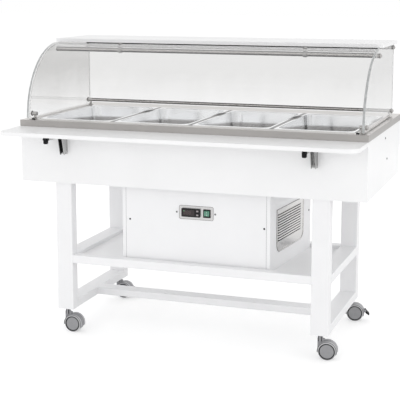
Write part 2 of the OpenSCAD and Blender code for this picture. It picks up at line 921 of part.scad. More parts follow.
// Switch body with a square bezel round its rocker
module switch_frame() {
    y = housing_front_y - plate_t;
    color(BLACK) at_front() difference() {
        union() {
            translate([switch_x, y, plate_z]) rotate([90, 0, 0])
                linear_extrude(3) round_rect(switch_w, switch_h, 2);
            box([switch_x - rocker_w / 2 - 2, y - 1, plate_z - rocker_h / 2 - 2],
                [switch_x + rocker_w / 2 + 2, y + switch_body_l,
                    plate_z + rocker_h / 2 + 2]);
        }
        box([switch_x - rocker_w / 2 - side_gap, y - 5,
                plate_z - rocker_h / 2 - side_gap - 0.4],
            [switch_x + rocker_w / 2 + side_gap, y + 14,
                plate_z + rocker_h / 2 + side_gap + 0.4]);
        rod_x(switch_x - rocker_w / 2 - 1.5, switch_x + rocker_w / 2 + 1.5, y + 4,
            plate_z, 1.5 + run_gap);
    }
}

// Rocker with a hollowed face, on two small trunnions
module switch_rocker() {
    y = housing_front_y - plate_t;
    color(GREEN) at_front() {
        difference() {
            intersection() {
                box([switch_x - rocker_w / 2, y - 6, plate_z - rocker_h / 2],
                    [switch_x + rocker_w / 2, y + 7, plate_z + rocker_h / 2]);
                rod_x(switch_x - rocker_w / 2, switch_x + rocker_w / 2, y + 4, plate_z,
                    rocker_h / 2);
            }
            rod_x(switch_x - rocker_w, switch_x + rocker_w, y - 5 - rocker_r, plate_z,
                rocker_r);
        }
        rod_x(switch_x - rocker_w / 2 - 1.3, switch_x + rocker_w / 2 + 1.3, y + 4,
            plate_z, 1.5);
    }
}

// ---------------------------------------------------------------- cooling unit

// Hermetic compressor: welded can, feet, suction and discharge stubs, terminal box
module compressor() {
    foot = 12;
    color(DARK) at_front() translate([can_x, can_y, can_z]) {
        translate([0, 0, foot]) rotate_extrude() {
            box_2d([0, 17], [can_r, can_h - 37]);
            translate([0, can_h - 38]) dish(can_r, 38);
            translate([0, 18]) mirror([0, 1]) dish(can_r, 18);
            box_2d([0, can_h * 0.5], [can_r + 3, can_h * 0.5 + 3]);
        }
        for (sx = [-1, 1], sy = [-1, 1]) translate([sx * 62, sy * 62, 0])
            difference() {
                cylinder(r = 13, h = foot);
                translate([0, 0, -1]) cylinder(r = 4, h = foot + 2);
            }
        translate([0, 0, foot]) linear_extrude(4) difference() {
            round_rect(158, 158, 18);
            for (sx = [-1, 1], sy = [-1, 1]) translate([sx * 62, sy * 62]) circle(4);
        }
        translate([can_r - 6, -24, 60]) cube([24, 48, 56]);
        rod_y(-can_r - 34, 26 - can_r, -30, 110, 4);
        rod_y(-can_r - 30, 26 - can_r, 24, 84, 3);
    }
}

// Half-section of a dished end of radius w and height h, for rotate_extrude
module dish(w, h) {
    ball = (w * w + h * h) / (2 * h);
    intersection() {
        translate([0, h - ball]) circle(ball);
        box_2d([0, 0], [w, h]);
    }
}

// Frame of the cooling unit behind the grille: +X rearward, +Y up, +Z outward
module on_unit() {
    on_wall() translate([unit_s, 0, -cond_gap]) children();
}

// Condenser: thin fins on a serpentine of tube between two end plates
module condenser() {
    tube_r = 4;
    rows = 5;
    row_pitch = cond_h / rows;
    color(COPPER) on_unit() translate([0, cond_z, 0]) {
        for (x = [-cond_l / 2, cond_l / 2 - 1.5])
            box([x, 0, -cond_d], [x + 1.5, cond_h, 0]);
        for (i = [1 : fin_count - 1])
            box([-cond_l / 2 + i * cond_l / fin_count - fin_t / 2, 4, -cond_d + 3],
                [-cond_l / 2 + i * cond_l / fin_count + fin_t / 2, cond_h - 4, -3]);
        for (i = [0 : rows - 1]) translate([-cond_l / 2 - 4, (i + 0.5) * row_pitch,
                -cond_d / 2])
            rotate([0, 90, 0]) cylinder(r = tube_r, h = cond_l + 8);
        for (i = [0 : rows - 2]) {
            side = i % 2 == 0 ? 1 : -1;
            translate([side * (cond_l / 2 + 4), (i + 1) * row_pitch, -cond_d / 2])
                rotate([0, 0, -90 * side]) rotate_extrude(angle = 180)
                    translate([row_pitch / 2, 0]) circle(tube_r);
        }
        for (x = [-cond_l / 2, cond_l / 2 - 20])
            box([x, shelf_top - cond_z, -cond_d], [x + 20, 0, -cond_d + 1.5]);
    }
}

// Cowl behind the condenser: plate with a ring, motor on a cross bracket
module fan_cowl() {
    z0 = -cond_d;
    color(DARK) on_unit() translate([0, fan_z, z0]) difference() {
        union() {
            translate([0, 0, -cowl_t]) linear_extrude(cowl_t)
                square([cond_l, cond_h], center = true);
            translate([0, 0, -cowl_d]) cylinder(r = fan_r + 4, h = cowl_d);
            translate([0, 0, -cowl_d - 6 - motor_l]) cylinder(r = motor_r, h = motor_l);
            translate([0, 0, -cowl_d - 12]) linear_extrude(12) {
                square([2 * fan_r + 6, 14], center = true);
                square([14, 2 * fan_r + 6], center = true);
            }
        }
        translate([0, 0, -cowl_d]) cylinder(r = fan_r + 1.5, h = cowl_d + 1);
        translate([0, 0, -cowl_d - 20]) cylinder(r = 3 + run_gap, h = 40);
    }
}

// Five-bladed rotor on its shaft
module fan_rotor() {
    z0 = -cond_d;
    color(GREY) on_unit() translate([0, fan_z, z0 - cowl_d]) {
        translate([0, 0, 2]) cylinder(r = hub_r, h = cowl_d - 6);
        translate([0, 0, -16]) cylinder(r = 3, h = 20);
        intersection() {
            for (i = [0 : blade_count - 1]) rotate([0, 0, i * 360 / blade_count])
                translate([0, 0, cowl_d / 2 - 1]) rotate([blade_pitch, 0, 0])
                    translate([hub_r - 5, -24, -1]) cube([fan_r, 48, 2]);
            translate([0, 0, 2]) cylinder(r = fan_r, h = cowl_d - 6);
        }
    }
}

// ---------------------------------------------------------------- casters

// Frame of a caster: origin on the floor under its stem, wheels trailing along +X
module caster_at(side, rear) {
    y = rear ? leg_rear_y : leg_front_y;
    turn = rear ? (side < 0 ? left_rear_turn : right_rear_turn)
        : (side < 0 ? left_front_turn : right_front_turn);
    at_front() translate([side * leg_mid_x, y, 0]) rotate([0, 0, turn]) children();
}

// Mounting plates and stems under the four legs
module caster_stems() {
    color(GREY) for (side = [-1, 1], rear = [false, true]) caster_at(side, rear) {
        translate([0, 0, stem_foot]) cylinder(r = stem_r, h = caster_h - stem_foot);
        translate([0, 0, pin_low]) cylinder(r = stem_pin_r, h = caster_h - pin_low);
        translate([0, 0, caster_h - 1.5]) cylinder(r = 15, h = 1.5);
    }
}

// Origin on a caster's axle, +X trailing, +Y up, +Z across the wheels
module on_axle() {
    translate([trail, 0, wheel_r]) rotate([90, 0, 0]) children();
}

// Swivelling fork: web between the wheels, boss for the stem, hood over both wheels
module caster_fork(side, rear) {
    color(GREY) caster_at(side, rear) difference() {
        union() {
            on_axle() {
                translate([0, 0, -hood_w / 2]) rotate([0, 0, hood_from])
                    rotate_extrude(angle = hood_turn)
                        translate([hood_r - hood_t, 0]) square([hood_t, hood_w]);
                translate([0, 0, -web_t / 2]) intersection() {
                    cylinder(r = hood_r - 0.5, h = web_t);
                    translate([-hood_r, -16, 0]) cube([2 * hood_r, hood_r + 16, web_t]);
                }
            }
            translate([0, 0, boss_low]) cylinder(r = boss_r, h = boss_high - boss_low);
            difference() {
                translate([-boss_r, -web_t / 2, wheel_r])
                    cube([trail, web_t, boss_low - wheel_r + 12]);
                translate([-boss_r, 0, 0]) rotate([90, 0, 0])
                    translate([trail + 2, boss_high + 10, -web_t])
                        cylinder(r = 22, h = 2 * web_t);
            }
            if (rear) pedal_lugs();
        }
        translate([0, 0, pin_low - 0.25])
            cylinder(r = stem_pin_r + run_gap, h = caster_h);
        on_axle() translate([0, 0, -hood_w])
            cylinder(r = axle_r + run_gap, h = 2 * hood_w);
        if (rear) pedal_pin_at()
            translate([0, 0, -pedal_w]) cylinder(r = pedal_pin_r + run_gap, h = 2 * pedal_w);
    }
}

// Origin on the brake pedal's hinge, +Z along it, +X down the pedal
module pedal_pin_at() {
    on_axle() translate([pedal_r * cos(pedal_angle), pedal_r * sin(pedal_angle), 0])
        rotate([0, 0, pedal_slope]) children();
}

// Two lugs on the hood that carry the brake pedal's pin
module pedal_lugs() {
    for (s = [-1, 1]) pedal_pin_at()
        translate([0, 0, s * (pedal_w / 2 + side_gap + 1.5) - 1.5])
            cylinder(r = pedal_eye_r + 1.2, h = 3);
}

// Twin wheels on one axle
module caster_wheels(side, rear) {
    reach = web_t / 2 + web_gap + wheel_w;
    color(GREY) caster_at(side, rear) on_axle() {
        translate([0, 0, -reach + 6]) cylinder(r = axle_r, h = 2 * reach - 12);
        for (s = [0, 1]) mirror([0, 0, s]) translate([0, 0, web_t / 2 + web_gap])
            wheel_profile();
    }
}

// One wheel: rounded tread, and a slightly domed disc inside a groove on its outer face
module wheel_profile() {
    edge = 3;
    w = wheel_w;
    rotate_extrude() difference() {
        union() {
            box_2d([0, 0], [wheel_r - edge, w]);
            box_2d([0, edge], [wheel_r, w - edge]);
            for (y = [edge, w - edge]) translate([wheel_r - edge, y]) circle(edge);
        }
        box_2d([disc_r, w - 3.5], [disc_r + groove_w, w + 1]);
        polygon([[5, w + 1], [5, w - 0.4], [disc_r - 3, w - 0.4], [disc_r + 0.1, w - 1.4],
            [disc_r + 0.1, w + 1]]);
        box_2d([-1, w - 1.2], [5.1, w + 1]);
    }
}

// Brake pedal: hinge eye and a wedge-shaped toe
module brake_pedal(side) {
    color(BLACK) caster_at(side, true) pedal_pin_at() {
        translate([0, 0, -pedal_w / 2]) linear_extrude(pedal_w) {
            circle(pedal_eye_r);
            polygon([[-1.5, 3.6], [pedal_l - 6, 6.5], [pedal_l, 4.5], [pedal_l, 2.5],
                [pedal_l * 0.55, -2.2], [2, -3.4]]);
        }
        translate([0, 0, -pedal_w / 2 - side_gap - 3])
            cylinder(r = pedal_pin_r, h = pedal_w + 2 * side_gap + 6);
    }
}

module left_front_fork() {
    caster_fork(-1, false);
}

module right_front_fork() {
    caster_fork(1, false);
}

module left_rear_fork() {
    caster_fork(-1, true);
}

module right_rear_fork() {
    caster_fork(1, true);
}

module left_front_wheels() {
    caster_wheels(-1, false);
}

module right_front_wheels() {
    caster_wheels(1, false);
}

module left_rear_wheels() {
    caster_wheels(-1, true);
}

module right_rear_wheels() {
    caster_wheels(1, true);
}

module left_brake_pedal() {
    brake_pedal(-1);
}

module right_brake_pedal() {
    brake_pedal(1);
}

// ---------------------------------------------------------------- screws

// Domed screw heads on the end panels, the housing's cover and its right wall
module screws() {
    cover_y = housing_front_y;
    color(DARK) {
        at_front() {
            for (side = [-1, 1], p = [[363, rim_z - 58], [408, rim_z - 146]])
                translate([side * panel_w / 2, p[0], p[1]]) rotate([0, 90 * side, 0])
                    dome(5, 1.8);
            for (x = [house_left + strip_w + 17, house_right - strip_w - 9])
                translate([x, cover_y, body_z - 144]) rotate([90, 0, 0]) dome(4, 2);
            for (x = [plate_x - plate_w / 2 - 12, plate_x + plate_w / 2 + 9])
                translate([x, cover_y, plate_z - 1]) rotate([90, 0, 0]) dome(4, 2);
        }
        on_wall() translate([housing_d - 20, body_z - 151, 0]) dome(4, 2);
        at_front() for (side = [-1, 1], z = [bracket_low + 15, bracket_top - 26])
            translate([side * bracket_x, sheet_t - cheek_t, z]) rotate([90, 0, 0])
                dome(3.5, 1.6);
    }
}

front_panel();
rear_panel();
left_panel();
right_panel();
bottom_panel();
rim_frame();
well_liner();
well_insulation();
evaporator_coil();
pan_bars();
pan_1();
pan_2();
pan_3();
pan_4();
curved_pane();
left_pane();
right_pane();
top_board();
canopy_tubes();
pane_clips();
pane_posts();
canopy_bolts();
tray_board();
tray_wall_brackets();
tray_arms();
left_release_knob();
right_release_knob();
left_front_leg();
left_rear_leg();
right_front_leg();
right_rear_leg();
foot_rails();
stretcher();
shelf_rails();
shelf_board();
housing_shell();
housing_cover();
side_grille();
control_plate();
thermostat();
upper_key();
lower_key();
switch_frame();
switch_rocker();
compressor();
condenser();
fan_cowl();
fan_rotor();
caster_stems();
left_front_fork();
right_front_fork();
left_rear_fork();
right_rear_fork();
left_front_wheels();
right_front_wheels();
left_rear_wheels();
right_rear_wheels();
left_brake_pedal();
right_brake_pedal();
screws();
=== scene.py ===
"""Mobile salad bar: materials, small visual pieces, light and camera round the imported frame."""

import json
import math

import bmesh
import bpy
from mathutils import Matrix, Vector


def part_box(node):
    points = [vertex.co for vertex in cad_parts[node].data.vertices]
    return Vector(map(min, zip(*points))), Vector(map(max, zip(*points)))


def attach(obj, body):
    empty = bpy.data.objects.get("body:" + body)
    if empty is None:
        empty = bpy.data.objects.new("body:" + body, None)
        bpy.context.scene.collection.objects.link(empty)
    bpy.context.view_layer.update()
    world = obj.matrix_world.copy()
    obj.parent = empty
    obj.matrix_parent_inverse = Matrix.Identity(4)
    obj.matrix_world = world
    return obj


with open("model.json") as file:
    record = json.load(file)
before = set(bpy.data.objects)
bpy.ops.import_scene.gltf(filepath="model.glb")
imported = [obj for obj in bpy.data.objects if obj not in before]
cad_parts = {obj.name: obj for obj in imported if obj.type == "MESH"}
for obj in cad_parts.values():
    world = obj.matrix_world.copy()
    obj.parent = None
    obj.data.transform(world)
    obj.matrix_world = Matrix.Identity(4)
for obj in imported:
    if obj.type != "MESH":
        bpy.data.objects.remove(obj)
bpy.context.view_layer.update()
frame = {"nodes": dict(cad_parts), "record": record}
NODES = frame["nodes"]
MM = 0.001


# ---------------------------------------------------------------- materials

class Tree:
    """A Principled material under construction."""

    def __init__(self, name):
        self.mat = bpy.data.materials.new(name)
        self.mat.use_nodes = True
        self.tree = self.mat.node_tree
        self.bsdf = self.tree.nodes["Principled BSDF"]
        self.out = self.tree.nodes["Material Output"]
        self.coord = self.node("TexCoord").outputs["Object"]

    def node(self, kind, **settings):
        node = self.tree.nodes.new("ShaderNode" + kind)
        for key, value in settings.items():
            setattr(node, key, value)
        return node

    def link(self, a, b):
        self.tree.links.new(a, b)

    def feed(self, socket, value):
        """Links a socket to another one, or sets it to a plain value."""
        if isinstance(value, bpy.types.NodeSocket):
            self.link(value, socket)
        else:
            socket.default_value = value

    def noise(self, scale, detail=3.0, stretch=None, rough=0.55):
        node = self.node("TexNoise")
        node.inputs["Scale"].default_value = scale
        node.inputs["Detail"].default_value = detail
        node.inputs["Roughness"].default_value = rough
        vector = self.coord
        if stretch:
            mapping = self.node("Mapping")
            mapping.inputs["Scale"].default_value = stretch
            self.link(self.coord, mapping.inputs["Vector"])
            vector = mapping.outputs["Vector"]
        self.link(vector, node.inputs["Vector"])
        return node.outputs["Fac"]

    def ramp(self, fac, stops):
        """Colours along fac; a stop's colour may be one grey."""
        node = self.node("ValToRGB")
        band = node.color_ramp
        while len(band.elements) < len(stops):
            band.elements.new(0.5)
        for element, (place, colour) in zip(band.elements, stops):
            element.position = place
            element.color = (*colour, 1.0) if isinstance(colour, tuple) else (*[colour] * 3, 1.0)
        self.link(fac, node.inputs["Fac"])
        return node.outputs["Color"]

    def spread(self, fac, low, high, start=0.0, end=1.0):
        """Maps fac from start..end to low..high."""
        node = self.node("MapRange")
        for key, value in (("From Min", start), ("From Max", end), ("To Min", low),
                           ("To Max", high)):
            node.inputs[key].default_value = value
        self.link(fac, node.inputs["Value"])
        return node.outputs["Result"]

    def maths(self, operation, *terms):
        node = self.node("Math", operation=operation)
        for socket, term in zip(node.inputs, terms):
            self.feed(socket, term)
        return node.outputs["Value"]

    def vector(self, operation, a, *constant, output="Value"):
        node = self.node("VectorMath", operation=operation)
        self.link(a, node.inputs[0])
        if constant:
            node.inputs[1].default_value = constant[0]
        return node.outputs[output]

    def place(self, axis):
        """One coordinate of the surface point, in the part's own frame."""
        return self.part(self.coord, axis)

    def slope(self, axis):
        """One component of the face's normal."""
        return self.part(self.node("NewGeometry").outputs["True Normal"], axis)

    def part(self, vector, axis):
        node = self.node("SeparateXYZ")
        self.link(vector, node.inputs["Vector"])
        return node.outputs[axis]

    def bump(self, *layers):
        last = None
        for height, strength, distance in layers:
            node = self.node("Bump")
            node.inputs["Strength"].default_value = strength
            node.inputs["Distance"].default_value = distance
            self.link(height, node.inputs["Height"])
            if last is not None:
                self.link(last, node.inputs["Normal"])
            last = node.outputs["Normal"]
        self.link(last, self.bsdf.inputs["Normal"])

    def mix_colour(self, a, b, factor, blend="MIX"):
        node = self.node("Mix", data_type="RGBA", blend_type=blend)
        for key, value in (("Factor", factor), ("A", a), ("B", b)):
            self.feed(node.inputs[key], value)
        return node.outputs["Result"]

    def multiply_base(self, factor):
        """Multiplies the base colour by a grey that varies over the surface."""
        socket = self.bsdf.inputs["Base Color"]
        self.link(self.mix_colour(socket.links[0].from_socket, factor, 1.0, "MULTIPLY"), socket)

    def mix_shaders(self, factor, first, second):
        node = self.node("MixShader")
        for socket, source in zip(node.inputs, (factor, first, second)):
            self.link(source, socket)
        return node.outputs["Shader"]

    def set(self, **values):
        for key, value in values.items():
            self.feed(self.bsdf.inputs[key.replace("_", " ")], value)


def tint(colour, factor):
    return tuple(min(1.0, c * factor) for c in colour)


FINE = 260.0
LONG = 3.0


def scratches(t, along):
    """Fine lines drawn out along one axis of the part."""
    return t.noise(3.0, 6.0, [LONG if axis == along else FINE for axis in "xyz"], 0.65)


def coated(name, colour, rough, grain, depth, coat=0.0, spread=0.03, specular=0.5):
    """Paint, laminate or moulded plastic: faint colour drift, uneven gloss, fine grain."""
    t = Tree(name)
    t.set(Base_Color=t.ramp(t.noise(5.0, 4.0), [(0.3, tint(colour, 1 - spread)), (0.7, colour)]),
          Roughness=t.spread(t.noise(38.0, 5.0), rough - 0.05, rough + 0.07),
          Coat_Weight=coat, Coat_Roughness=0.12, Specular_IOR_Level=specular)
    t.bump((t.noise(grain, 2.0), 0.25, depth), (t.noise(26.0, 2.0), 0.08, depth * 3))
    return t


def brushed(name, colour, along, rough):
    """Brushed metal: fine scratches drawn out along one axis of the part."""
    t = Tree(name)
    lines = scratches(t, along)
    t.set(Base_Color=t.ramp(t.noise(4.0, 3.0), [(0.3, tint(colour, 0.93)),
                                                (0.7, tint(colour, 1.03))]),
          Metallic=1.0, Roughness=t.spread(lines, rough - 0.07, rough + 0.12))
    t.bump((lines, 0.3, 0.00003), (t.noise(9.0, 1.0), 0.12, 0.0004))
    return t


def steel_painted_by_slope(name, colour, along, rough, stops):
    """Brushed steel with painted reflection and shade: its brightness follows the stops, from
    faces down (0) to faces up (1).
    """
    t = brushed(name, colour, along, rough)
    t.multiply_base(t.ramp(t.spread(t.slope("Z"), 0.0, 1.0, start=-1.0), stops))
    return t


# Where the painted shade on the pans' side edges is full and where it starts, in from the edge,
# and the heights of the painted reflection band below the top
PAN_EDGE_DARK = 6.6 * MM
PAN_EDGE_PALE = 8.0 * MM
PAN_BAND_LOW = 80 * MM
PAN_BAND_HIGH = 30 * MM


def pan_steel(name, node):
    """Pressed pan: bright walls, with painted shade on the rolled side edges and the foot radius,
    and a painted dark reflection in a band on the rear wall.
    """
    t = Tree(name)
    lines = scratches(t, "y")
    t.set(Base_Color=t.ramp(t.noise(4.0, 3.0), [(0.3, (0.90, 0.905, 0.915)),
                                                (0.7, (0.98, 0.985, 0.99))]),
          Metallic=1.0, Roughness=t.spread(lines, 0.03, 0.16))
    t.bump((lines, 0.25, 0.00003), (t.noise(9.0, 1.0), 0.12, 0.0004))
    lo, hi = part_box(node)
    half = (hi.x - lo.x) / 2
    across = t.maths("ABSOLUTE", t.maths("SUBTRACT", t.place("X"), (lo.x + hi.x) / 2))
    # Painted shade on the rolled side edges
    t.multiply_base(t.spread(across, 1.0, 0.06, half - PAN_EDGE_PALE, half - PAN_EDGE_DARK))
    # Painted shade on sloping faces, such as the foot radius
    t.multiply_base(t.ramp(t.maths("ABSOLUTE", t.slope("Z")),
                           [(0.12, 1.0), (0.30, (0.30, 0.29, 0.28)),
                            (0.78, (0.36, 0.35, 0.34)), (0.93, 1.0)]))
    # Painted dark reflection in a band on the rear wall
    depth = t.spread(t.place("Z"), 0.0, 1.0, hi.z - PAN_BAND_LOW, hi.z - PAN_BAND_HIGH)
    band = t.ramp(depth, [(0.0, 0.8), (0.25, (0.36, 0.35, 0.34)),
                          (0.55, (0.42, 0.41, 0.40)), (0.72, 1.0)])
    rear_wall = t.maths("LESS_THAN", t.slope("Y"), -0.5)
    t.multiply_base(t.mix_colour((1, 1, 1, 1), band, rear_wall))
    return t


# The housing's right wall: it starts at the front cover and runs rearward, splayed
WALL_SPLAY = 5.6
WALL_TURN = math.radians(90 - WALL_SPLAY)
WALL_ALONG = Vector((math.cos(WALL_TURN), math.sin(WALL_TURN), 0))
WALL_OUT = Vector((math.sin(WALL_TURN), -math.cos(WALL_TURN), 0))
WALL_FOOT = Vector((0.321, -0.180, 0))
LOUVRE_SHADE_FULL = 0.2 * MM
LOUVRE_SHADE_END = 0.8 * MM


def louvre_steel(name, colour):
    """Polished grille plate on the splayed wall, with painted shade inside its slots."""
    t = brushed(name, colour, "y", 0.14)
    plane = WALL_FOOT.dot(WALL_OUT)
    out = t.vector("DOT_PRODUCT", t.coord, WALL_OUT)
    # Painted shade inside the slots: points close to the wall's plane are darkened
    t.multiply_base(t.spread(out, 0.05, 1.0, plane + LOUVRE_SHADE_FULL, plane + LOUVRE_SHADE_END))
    return t


BESIDE_PLATE = 100 * MM


def screw_steel(name):
    """Blackened screw heads; the two beside the control plate are plain steel."""
    t = Tree(name)
    lo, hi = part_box("control_plate")
    near = t.maths("LESS_THAN", t.vector("DISTANCE", t.coord, (lo + hi) / 2), BESIDE_PLATE)
    t.set(Base_Color=t.ramp(near, [(0.4, (0.025, 0.025, 0.027)), (0.6, (0.30, 0.30, 0.31))]),
          Metallic=0.6, Roughness=t.spread(t.noise(300.0, 2.0), 0.25, 0.45))
    t.bump((t.noise(900.0, 2.0), 0.2, 0.00004))
    return t


PANE_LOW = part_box("left_pane")[0].z
PANE_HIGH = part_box("left_pane")[1].z


def clear_sheet(name, faces_along_x, top, foot):
    """Clear sheet with a grey cast, wipe marks and frosted cut edges.

    The cast runs from foot to top grey over the sheet's height. Shadow rays pass through.
    The big faces of a side pane look along X; the cut ends of the curved pane do.
    """
    t = Tree(name)
    wipe = t.noise(2.2, 4.0, (5.0, 5.0, 0.6), 0.6)
    height = t.spread(t.place("Z"), 0.0, 1.0, PANE_LOW, PANE_HIGH)
    cast = t.maths("MULTIPLY_ADD", wipe, 0.35, height)
    t.set(Base_Color=t.ramp(cast, [(0.12, foot), (0.85, (top, top * 0.996, top * 0.99))]),
          Roughness=t.spread(wipe, 0.003, 0.022), IOR=1.45, Transmission_Weight=1.0)
    t.bump((t.noise(3.0, 1.0), 0.04, 0.0006))
    edge = t.maths("LESS_THAN" if faces_along_x else "GREATER_THAN",
                   t.maths("ABSOLUTE", t.slope("X")), 0.6)
    cut = t.node("BsdfPrincipled")
    t.link(t.ramp(t.noise(60.0, 3.0), [(0.35, (0.66, 0.68, 0.68)), (0.65, (0.90, 0.92, 0.92))]),
           cut.inputs["Base Color"])
    cut.inputs["Roughness"].default_value = 0.3
    cut.inputs["Transmission Weight"].default_value = 0.5
    passing = t.node("BsdfTransparent")
    passing.inputs["Color"].default_value = (0.93, 0.95, 0.95, 1.0)
    sheet = t.mix_shaders(edge, t.bsdf.outputs["BSDF"], cut.outputs["BSDF"])
    t.link(t.mix_shaders(t.node("LightPath").outputs["Is Shadow Ray"], sheet,
                         passing.outputs["BSDF"]), t.out.inputs["Surface"])
    return t


HOOD_HALF = 22 * MM


def fork_plastic(name, centre, axis):
    """Caster hood: grey plastic with a darker middle, two fine lines of painted shade standing
    for grooves over the wheels, and darker outer sides.
    """
    t = coated(name, (0.50, 0.50, 0.52), 0.36, 800.0, 0.00006, spread=0.06)
    away = t.vector("SUBTRACT", t.coord, centre, output="Vector")
    across = t.maths("ABSOLUTE", t.vector("DOT_PRODUCT", away, axis))
    t.multiply_base(t.ramp(t.spread(across, 0.0, 1.0, end=HOOD_HALF),
                           ((0.30, 0.62), (0.34, 0.10), (0.42, 0.10), (0.46, 0.95),
                            (0.90, 1.0), (0.97, 0.35))))
    return t


# Middle of each tray bracket's painted shade, which on the left takes in the left cheek
# and stops short of the right one
LEFT_SHADE_X = -0.516
RIGHT_SHADE_X = 0.512
SHADE_HALF = 9.6 * MM
LEFT_SHADE = 0.17
RIGHT_SHADE = 0.72


def bracket_steel(name, colour):
    """Brushed bracket steel with painted shade between the cheeks, deepest on the left bracket,
    where it takes in the left cheek as a painted dark reflection.
    """
    t = Tree(name)
    lines = scratches(t, "z")
    t.set(Base_Color=t.ramp(t.noise(4.0, 3.0), [(0.3, tint(colour, 0.93)), (0.7, colour)]),
          Metallic=1.0, Roughness=t.spread(lines, 0.18, 0.34))
    t.bump((lines, 0.3, 0.00003))
    left = t.maths("LESS_THAN", t.place("X"), 0.0)
    centre = t.maths("MULTIPLY_ADD", left, LEFT_SHADE_X - RIGHT_SHADE_X, RIGHT_SHADE_X)
    inside = t.maths("LESS_THAN",
                     t.maths("ABSOLUTE", t.maths("SUBTRACT", t.place("X"), centre)), SHADE_HALF)
    # Strength of the painted shade: deep on the left bracket, light on the right
    dark = t.maths("MULTIPLY_ADD", left, LEFT_SHADE - RIGHT_SHADE, RIGHT_SHADE)
    shade = t.node("Mix")
    for key, value in (("Factor", inside), ("A", 1.0), ("B", dark)):
        t.feed(shade.inputs[key], value)
    t.multiply_base(shade.outputs["Result"])
    return t


WHEEL_INNER = 20 * MM
WHEEL_OUTER = 36 * MM
# Near-black of the wheel's groove: painted shade
GROOVE_SHADE = (0.008, 0.008, 0.009)


def wheel(name, centre, axis):
    """Twin wheel: grey disc, groove and pale tread, told apart by distance from the axle; the
    groove's near-black is painted shade.
    """
    t = Tree(name)
    away = t.vector("SUBTRACT", t.coord, centre, output="Vector")
    radius = t.vector("LENGTH", t.vector("CROSS_PRODUCT", away, axis, output="Vector"))
    radial = t.ramp(t.spread(radius, 0.0, 1.0, WHEEL_INNER, WHEEL_OUTER),
                    [(0.42, (0.31, 0.31, 0.32)), (0.44, GROOVE_SHADE), (0.72, GROOVE_SHADE),
                     (0.74, (0.64, 0.64, 0.65))])
    grime = t.ramp(t.noise(70.0, 4.0), [(0.3, 0.75), (0.7, 1.0)])
    t.set(Base_Color=t.mix_colour(radial, grime, 0.35, "MULTIPLY"),
          Roughness=t.spread(t.noise(55.0, 3.0), 0.3, 0.5))
    t.bump((t.noise(800.0, 2.0), 0.2, 0.00006))
    return t


def glowing(name, colour, strength):
    t = Tree(name)
    t.set(Base_Color=(*colour, 1.0), Emission_Color=(*colour, 1.0),
          Emission_Strength=strength, Roughness=t.spread(t.noise(90.0), 0.25, 0.4))
    return t


LOOKS = {
    "board": coated("white_laminate", (0.88, 0.88, 0.885), 0.30, 900.0, 0.00004),
    "steel_white": coated("white_powder_coat", (0.875, 0.875, 0.885), 0.36, 520.0, 0.00007),
    "plate": brushed("control_plate_steel", (0.74, 0.73, 0.73), "x", 0.34),
    # Dark steel of the control plate's trim and the grille's edge ring: painted shade along those
    # edges
    "plate_edge": brushed("edge_trim_painted_shade", (0.34, 0.33, 0.33), "x", 0.22),
    # Rim: painted highlight on up-facing faces, painted shade on its sides and undersides
    "rim": steel_painted_by_slope("brushed_steel_rim", (0.68, 0.655, 0.635), "x", 0.30,
                          ((0.55, 0.70), (0.85, 1.0))),
    # Tube: painted dark reflections along its top and its underside
    "tube": steel_painted_by_slope("drawn_steel_tube", (0.76, 0.73, 0.71), "x", 0.10,
                           ((0.32, 0.01), (0.44, 0.75), (0.66, 1.0), (0.80, 0.08))),
    "bolt": brushed("turned_steel", (0.52, 0.51, 0.50), "z", 0.12),
    "louvre": louvre_steel("pressed_steel_louvre", (0.80, 0.79, 0.78)),
    "bracket": bracket_steel("pressed_steel_bracket", (0.60, 0.60, 0.595)),
    "screw": screw_steel("screw_heads"),
    "clear_flat": clear_sheet("clear_side_sheet", True, 0.76, 0.98),
    "clear_curved": clear_sheet("clear_curved_sheet", False, 0.77, 0.95),
    "black": coated("black_satin", (0.012, 0.012, 0.013), 0.42, 600.0, 0.00008, spread=0.2),
    "knob": coated("black_plastic", (0.006, 0.006, 0.007), 0.46, 900.0, 0.00005, spread=0.2,
                   specular=0.2),
    "bezel": coated("bezel_plastic", (0.010, 0.009, 0.010), 0.40, 1200.0, 0.00004, spread=0.15,
                    specular=0.3),
    "key": coated("key_rubber", (0.30, 0.26, 0.27), 0.45, 900.0, 0.00005, spread=0.1),
    "rocker": coated("green_rocker", (0.10, 0.27, 0.19), 0.22, 900.0, 0.00003, 0.5, 0.12),
    "can": coated("compressor_paint", (0.02, 0.02, 0.022), 0.26, 320.0, 0.00012, 0.3, 0.2),
    "foam": coated("rigid_foam", (0.72, 0.64, 0.36), 0.72, 240.0, 0.0004, spread=0.12),
    "copper": brushed("copper_tube", (0.62, 0.33, 0.21), "x", 0.28),
    "coil": coated("condenser_black", (0.02, 0.02, 0.022), 0.40, 500.0, 0.0001, spread=0.2),
    "mark_green": coated("rocker_mark", (0.62, 0.80, 0.72), 0.4, 900.0, 0.00002),
    "zinc": brushed("zinc_plate", (0.60, 0.60, 0.62), "z", 0.22),
    "fan": coated("fan_plastic", (0.10, 0.10, 0.11), 0.4, 500.0, 0.00006, spread=0.1),
    "display": coated("display_window", (0.020, 0.011, 0.012), 0.16, 1500.0, 0.00001, 0.3),
    "digit": coated("display_digits", (0.13, 0.09, 0.095), 0.3, 1500.0, 0.00001),
    "lamp": glowing("status_lamp", (0.15, 0.55, 0.25), 0.8),
    "filter": coated("slot_shade_filter", (0.015, 0.015, 0.016), 0.8, 380.0, 0.0006, spread=0.3),
    "seam": coated("seam_shadow", (0.30, 0.30, 0.31), 0.6, 700.0, 0.00005, spread=0.1),
    "mark": coated("print_white", (0.72, 0.72, 0.73), 0.5, 900.0, 0.00002),
}

